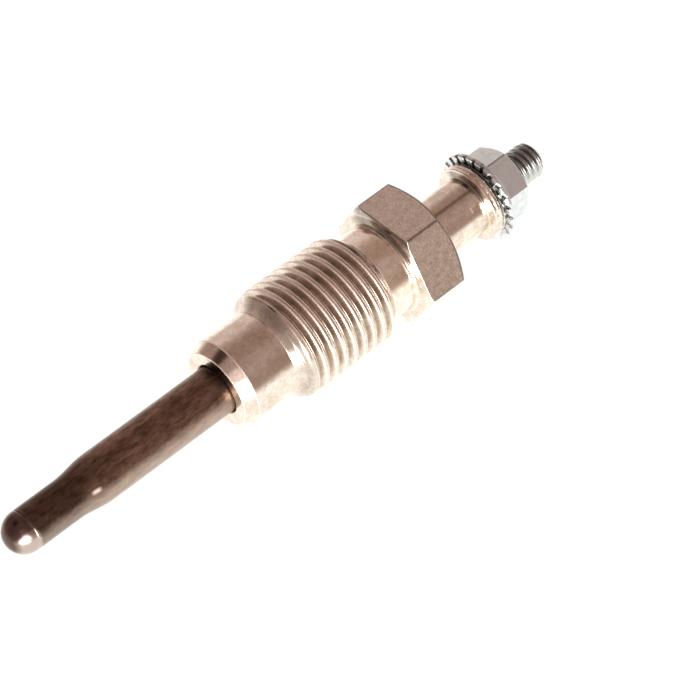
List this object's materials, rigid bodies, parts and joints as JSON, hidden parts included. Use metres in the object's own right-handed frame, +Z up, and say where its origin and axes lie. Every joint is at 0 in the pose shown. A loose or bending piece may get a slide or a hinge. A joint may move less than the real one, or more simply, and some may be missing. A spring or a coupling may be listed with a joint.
{
  "type": "diesel glow plug",
  "caption": "Sheathed diesel glow plug: domed heating tube, sealing cone, threaded body with hexagon, insulated terminal stud and serrated flange nut.",
  "frame": {"origin": "middle of the plug's length and width, at the height of the hexagon flat that it lies on", "axes": "+X along the plug's axis toward the terminal, +Z up, the axis 6 mm above the origin"},
  "size_m": [0.0684, 0.0138, 0.012],
  "materials": {
    "body_steel": "satin nickel plate, slightly warm",
    "sheath_alloy": "dark brown heat oxide, satin",
    "magnesia": "packed powder, matt",
    "heating_wire": "drawn wire",
    "regulating_wire": "drawn wire",
    "tube_seal_rubber": "matt",
    "rod_steel": "dark zinc plate, satin",
    "ring_rubber": "matt",
    "bush_plastic": "black, dull",
    "nut_steel": "grey zinc plate, satin"
  },
  "bodies": {
    "root": {"body": "body_steel", "glow_tube": "sheath_alloy", "magnesia_fill": "magnesia", "heating_coil": "heating_wire", "regulating_coil": "regulating_wire", "tube_seal": "tube_seal_rubber", "center_rod": "rod_steel", "body_seal_ring": "ring_rubber", "insulating_bush": "bush_plastic", "terminal_nut": "nut_steel"}
  },
  "joints": []
}
